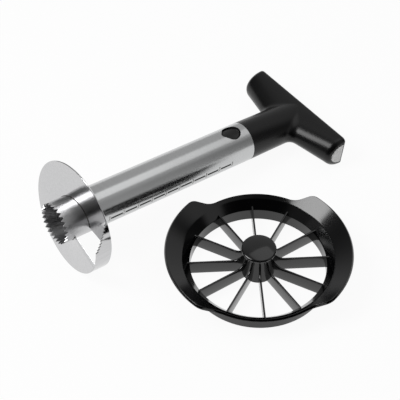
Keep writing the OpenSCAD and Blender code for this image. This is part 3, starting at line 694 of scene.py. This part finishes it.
# solids that stay as they are, seen only when the handle is pulled out
for name, material in (("handle_plug", plugPlastic), ("plug_lid", plugPlastic), ("plug_screw", springSteel)):
    cadNodes[name].data.materials.clear()
    cadNodes[name].data.materials.append(material)

# floor, light and camera: lengths in metres and power in watts
floorLook = {"size": 12, "drop": 0.0002, "grey": 0.94, "rough": 0.9, "whiteShare": 0.94}


def mattMaterial(name, grey, rough):
    # dull studio surface with no sheen
    mat, tree, shader = newMaterial(name)
    shader.inputs["Base Color"].default_value = (grey, grey, grey, 1)
    shader.inputs["Roughness"].default_value = rough
    shader.inputs["Specular IOR Level"].default_value = 0.0
    return mat, tree, shader


floorMat, floorTree, floorShader = mattMaterial("studioFloor", floorLook["grey"], floorLook["rough"])
bpy.ops.mesh.primitive_plane_add(size=floorLook["size"], location=(0, 0, -floorLook["drop"]))
floor = bpy.context.object
floor.name = "studioFloor"
floor.data.materials.append(floorMat)
# camera and gloss see the floor mostly as white paper, and the small rest keeps the object's shadow
paths = addNode(floorTree, "ShaderNodeLightPath")
glow = addNode(floorTree, "ShaderNodeEmission", {"Color": (1, 1, 1, 1), "Strength": 1.0})
seen = addNode(floorTree, "ShaderNodeMath",
    {0: paths.outputs["Is Camera Ray"], 1: paths.outputs["Is Glossy Ray"]}, operation="MAXIMUM")
white = addNode(floorTree, "ShaderNodeMath", {0: seen.outputs[0], 1: floorLook["whiteShare"]}, operation="MULTIPLY")
mixed = addNode(floorTree, "ShaderNodeMixShader",
    {0: white.outputs[0], 1: floorShader.outputs[0], 2: glow.outputs[0]})
floorOut = [node for node in floorTree.nodes if node.type == "OUTPUT_MATERIAL"][0]
floorTree.links.new(mixed.outputs[0], floorOut.inputs[0])

# a low black flag in front of the set, out of the picture, that only gloss sees
flag = {"left": -0.1, "right": 0.16, "front": -0.25, "top": 0.075}
flagMat = mattMaterial("blackFlag", 0, 1.0)[0]
flagCorners = ((flag["left"], 0), (flag["right"], 0), (flag["right"], flag["top"]), (flag["left"], flag["top"]))
flagMesh = bpy.data.meshes.new("blackFlag")
flagMesh.from_pydata([(x, flag["front"], z) for x, z in flagCorners], [], [(0, 1, 2, 3)])
blackFlag = newObject("blackFlag", flagMesh)
flagMesh.materials.append(flagMat)
blackFlag.visible_camera = blackFlag.visible_diffuse = blackFlag.visible_shadow = False

# the room, by direction: grey cloth on the right and a darker left side, a dark opening round the camera, and two
# dark stretches low down in front, with a bright gap between them
room = {"side": (-0.35, 0.25), "sideGlow": (0.13, 0.5), "toCamera": (-0.407, -0.530, 0.744),
    "opening": (0.68, 0.87), "openingGlow": (1.0, 0.5), "gapX": 0.4, "gapHalf": (0.12, 0.28),
    "front": (-0.05, -0.3), "lowDown": (0.68, 0.5), "gloom": 0.1}
world = bpy.data.worlds.new("studioWorld")
bpy.context.scene.world = world
world.use_nodes = True
sky = world.node_tree
sky.nodes.clear()


def softStep(value, span, glow=(0.0, 1.0)):
    # goes smoothly from one brightness to another over a span of the value
    return addNode(sky, "ShaderNodeMapRange", {"Value": value, "From Min": span[0], "From Max": span[1],
        "To Min": glow[0], "To Max": glow[1]}, interpolation_type="SMOOTHSTEP").outputs[0]


def times(a, b):
    return addNode(sky, "ShaderNodeMath", {0: a, 1: b}, operation="MULTIPLY").outputs[0]


way = addNode(sky, "ShaderNodeTexCoord").outputs["Generated"]
axes = addNode(sky, "ShaderNodeSeparateXYZ", {0: way})
sideGlow = softStep(axes.outputs["X"], room["side"], room["sideGlow"])
toCamera = addNode(sky, "ShaderNodeVectorMath", {0: way, 1: room["toCamera"]}, operation="DOT_PRODUCT")
opening = softStep(toCamera.outputs["Value"], room["opening"], room["openingGlow"])
offGap = addNode(sky, "ShaderNodeMath", {0: axes.outputs["X"], 1: room["gapX"]}, operation="SUBTRACT")
aside = addNode(sky, "ShaderNodeMath", {0: offGap.outputs[0]}, operation="ABSOLUTE")
flank = softStep(aside.outputs[0], room["gapHalf"])
inFront = times(softStep(axes.outputs["Y"], room["front"]), softStep(axes.outputs["Z"], room["lowDown"]))
horizon = addNode(sky, "ShaderNodeMapRange",
    {"Value": times(flank, inFront), "To Min": 1.0, "To Max": room["gloom"]}).outputs[0]
studio = times(times(sideGlow, horizon), opening)
skyPaths = addNode(sky, "ShaderNodeLightPath")
pick = addNode(sky, "ShaderNodeMixRGB", {0: skyPaths.outputs["Is Camera Ray"], 1: studio, 2: (1, 1, 1, 1)})
skyGlow = addNode(sky, "ShaderNodeBackground", {"Color": pick.outputs[0], "Strength": 1.0})
skyOut = addNode(sky, "ShaderNodeOutputWorld")
sky.links.new(skyGlow.outputs[0], skyOut.inputs[0])

softBoxes = {"keyBox": {"place": (-0.66, 0.34, 0.94), "aim": (0, 0, 0), "size": (0.55, 0.55), "power": 7.5},
    "topBox": {"place": (0.5, 0.08, 1.2), "aim": (0.5, 0.08, 0), "size": (0.9, 1.05), "power": 1.9}}
for name, box in softBoxes.items():
    # a rectangle of light that faces its aim
    data = bpy.data.lights.new(name, "AREA")
    data.shape, data.energy = "RECTANGLE", box["power"]
    data.size, data.size_y = box["size"]
    lamp = newObject(name, data)
    lamp.location = box["place"]
    x, y, z = np.array(box["aim"]) - np.array(box["place"])
    lamp.rotation_euler = (math.atan2(math.hypot(x, y), -z), 0, math.atan2(y, x) - math.pi / 2)

# camera as fitted to the photo, its place in millimetres in the slicer's own plan
view = {"x": -285.4, "y": -532.5, "z": 726.9, "elevation": 48.09, "heading": 52.46,
    "focalPx": 1189.7, "widthPx": 400, "sensor": 36}
cameraData = bpy.data.cameras.new("photoCamera")
cameraData.sensor_width, cameraData.lens = view["sensor"], view["focalPx"] / view["widthPx"] * view["sensor"]
camera = newObject("photoCamera", cameraData)
camera.location = ((view["x"] - lay["shiftX"]) / mmPerM, (view["y"] - lay["shiftY"]) / mmPerM, view["z"] / mmPerM)
camera.rotation_euler = (math.radians(90 - view["elevation"]), 0, math.radians(view["heading"] - 90))
bpy.context.scene.camera = camera
bpy.context.scene.view_settings.view_transform = "Standard"
print("studio ready")
